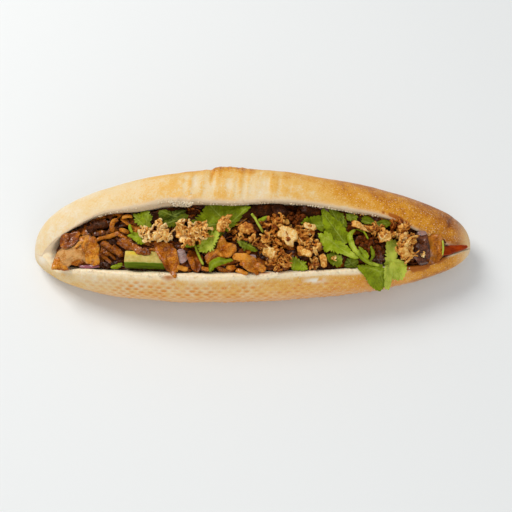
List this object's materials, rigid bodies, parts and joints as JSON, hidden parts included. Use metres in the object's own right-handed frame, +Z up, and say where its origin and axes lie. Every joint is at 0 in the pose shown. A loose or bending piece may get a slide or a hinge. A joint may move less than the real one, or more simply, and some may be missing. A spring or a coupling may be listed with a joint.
{
  "type": "filled baguette sandwich",
  "caption": "Crusty roll split along one side and lying cut side up, packed with sauced meat slices, cucumber, carrot, red onion, cilantro leaves and crisp fried onion.",
  "frame": {"origin": "on the table under the roll, at the middle of its bounding box's base", "axes": "+X along the roll towards the end that the cut runs out of, +Y from the bottom crust towards the domed top crust, +Z up out of the table"},
  "size_m": [0.28, 0.0852, 0.0583],
  "materials": {
    "crust": "dry baked crust",
    "sauced_meat": "wet with sauce",
    "meat": "moist",
    "cucumber": "moist",
    "carrot": "moist",
    "red_onion": "moist",
    "cilantro": "fresh leaf",
    "fried_onion": "crisp"
  },
  "bodies": {
    "root": {"bread_roll": "crust", "meat_bed": "sauced_meat", "carrot_strip": "carrot", "meat_slice_left": "meat", "red_onion_slice_left": "red_onion", "meat_strip_dark": "sauced_meat", "meat_strip_thin": "sauced_meat", "meat_curl": "meat", "cilantro_leaf_by_cucumber": "cilantro", "cucumber_baton": "cucumber", "meat_strip_long": "meat", "red_onion_slice_mid": "red_onion", "meat_slab_over_lip": "meat", "meat_slab_gold": "meat", "meat_slice_far": "sauced_meat", "red_onion_slice_centre": "red_onion", "meat_strip_ragged": "meat", "meat_slab_low": "sauced_meat", "red_onion_slice_far": "red_onion", "meat_slice_under_leaf": "sauced_meat", "meat_slice_glossy": "sauced_meat", "red_onion_slice_right": "red_onion", "meat_slice_right": "meat", "cilantro_leaf_far_left": "cilantro", "cilantro_leaf_light": "cilantro", "cilantro_leaf_dark": "cilantro", "cilantro_leaf_big": "cilantro", "cilantro_leaf_curled": "cilantro", "cilantro_leaf_centre": "cilantro", "cilantro_stem_left": "cilantro", "cilantro_stem_centre": "cilantro", "cilantro_leaf_near": "cilantro", "cilantro_leaf_fold": "cilantro", "fried_onion_left": "fried_onion", "fried_onion_mid_left": "fried_onion", "fried_onion_flake_on_leaf": "fried_onion", "fried_onion_ring_dark": "fried_onion", "fried_onion_centre": "fried_onion", "fried_onion_flake_pale": "fried_onion", "fried_onion_flake_low": "fried_onion", "cilantro_leaf_far": "cilantro", "cilantro_sprig_long": "cilantro", "cilantro_leaf_over_lip": "cilantro", "fried_onion_mid_right": "fried_onion", "cilantro_ribbon": "cilantro", "cilantro_leaf_light_right": "cilantro", "fried_onion_right": "fried_onion"}
  },
  "joints": []
}
